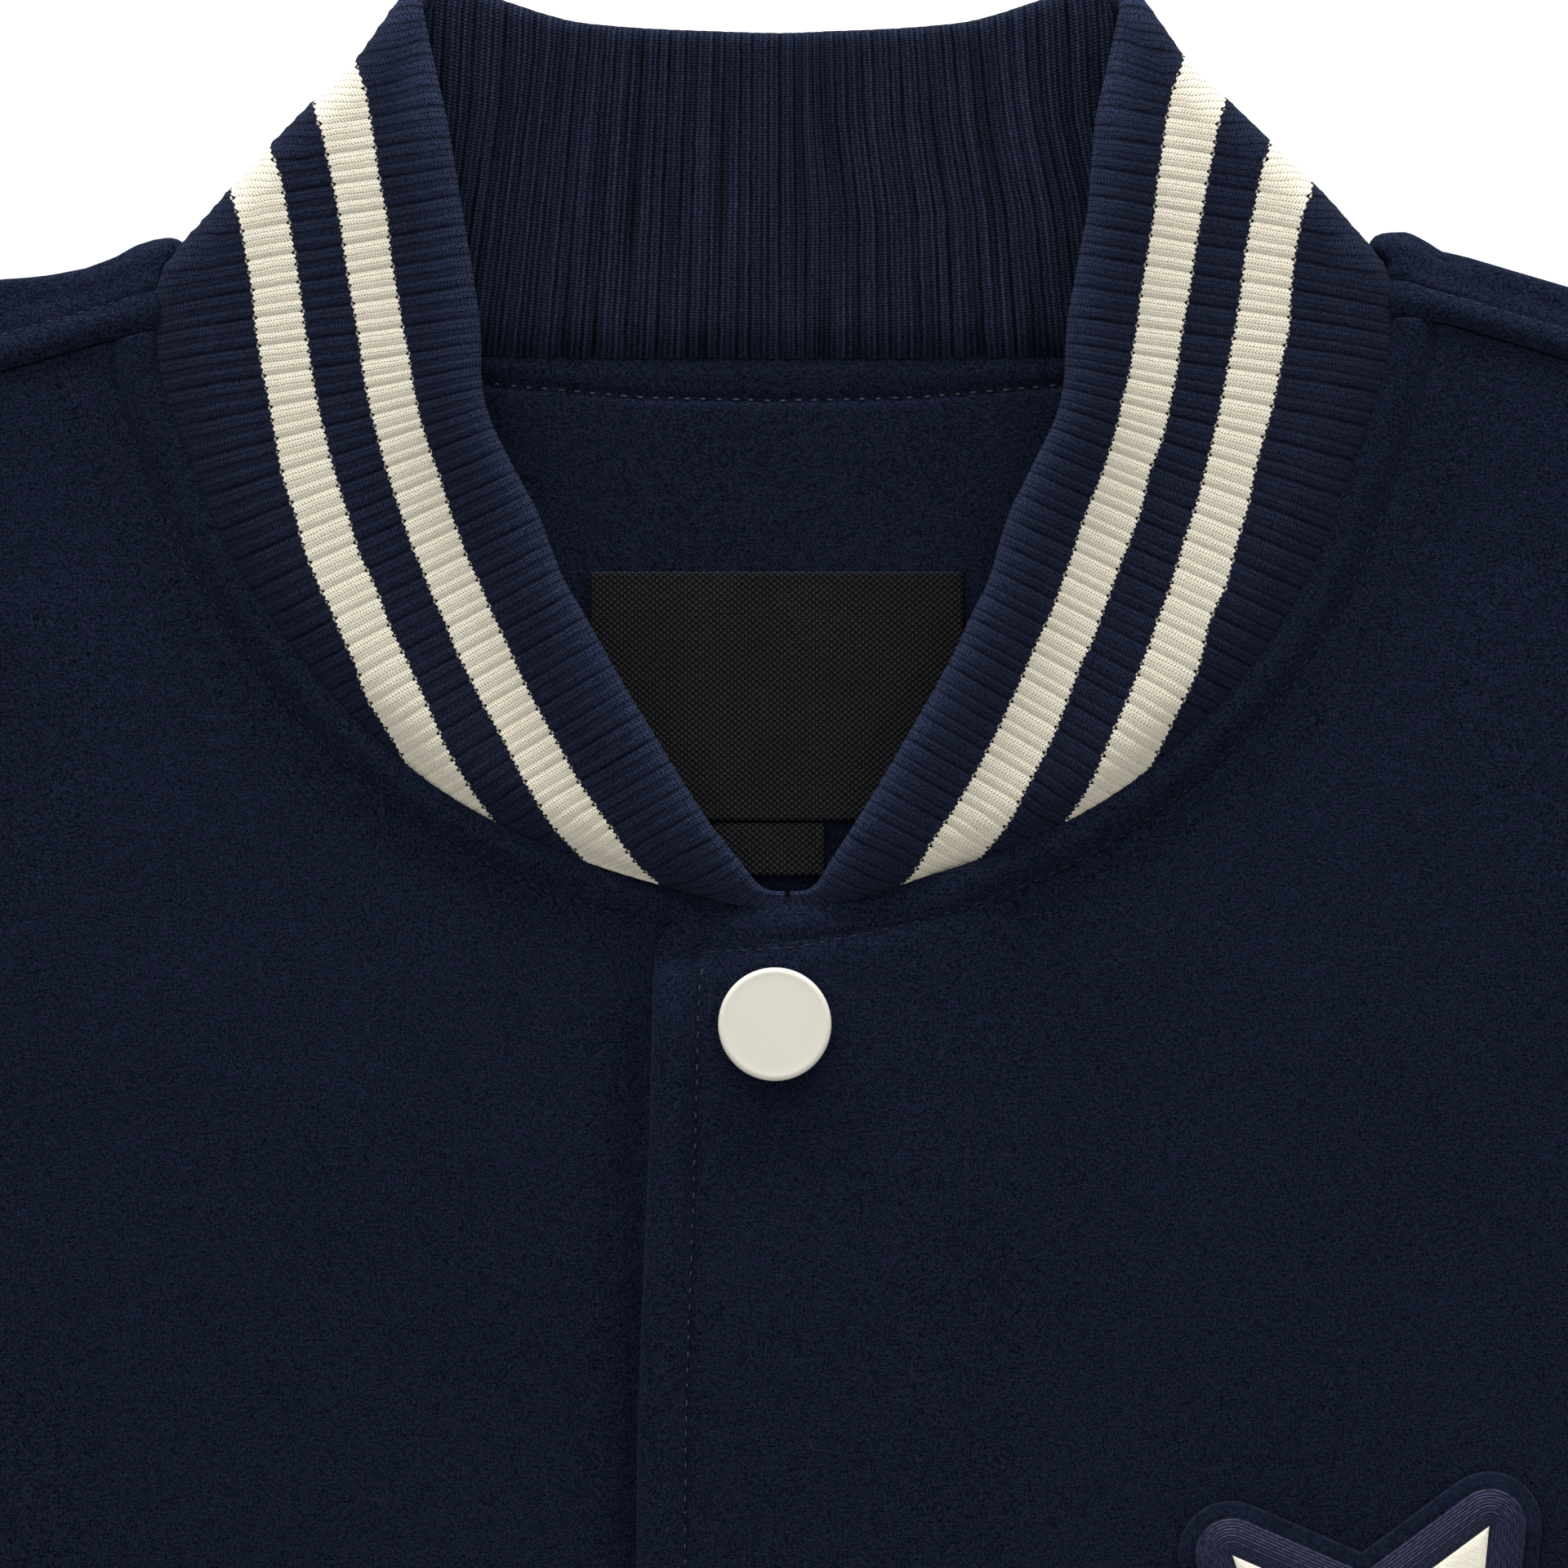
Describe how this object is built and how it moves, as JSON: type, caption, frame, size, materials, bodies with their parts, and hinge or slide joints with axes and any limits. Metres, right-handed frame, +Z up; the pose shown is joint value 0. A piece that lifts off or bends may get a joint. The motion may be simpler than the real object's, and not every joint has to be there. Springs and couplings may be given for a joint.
{
  "type": "varsity jacket laid flat",
  "caption": "Wool varsity jacket with rib-knit collar, cuffs and waistband striped in cream, snapped shut and laid flat on its back with the sleeves out.",
  "frame": {"origin": "middle of the underside of the laid-out jacket, on the surface that it lies on", "axes": "+X to the wearer's left sleeve, +Y to the neck, +Z up out of the surface"},
  "size_m": [1.5324, 0.74, 0.0129],
  "materials": {
    "melton": "navy wool melton, napped, matt",
    "rib_knit": "navy two-by-two rib knit with two cream stripes",
    "woven_label": "black basket weave",
    "felt_navy": "navy wool felt",
    "felt_cream": "cream wool felt",
    "embroidery": "indigo satin stitch",
    "snap_cap": "cream enamelled snap cap, satin"
  },
  "bodies": {
    "root": {"back": "melton", "front_left": "melton", "front_right": "melton", "sleeve_left": "melton", "sleeve_right": "melton", "cuff_left": "rib_knit", "cuff_right": "rib_knit", "hem_rib": "rib_knit", "collar": "rib_knit", "back_neck_facing": "melton", "neck_label": "woven_label", "size_tab": "woven_label", "snap_1": "snap_cap", "snap_2": "snap_cap", "snap_3": "snap_cap", "snap_4": "snap_cap", "snap_5": "snap_cap", "snap_6": "snap_cap", "patch_base": "felt_navy", "patch_star": "felt_cream", "patch_border": "embroidery"}
  },
  "joints": []
}
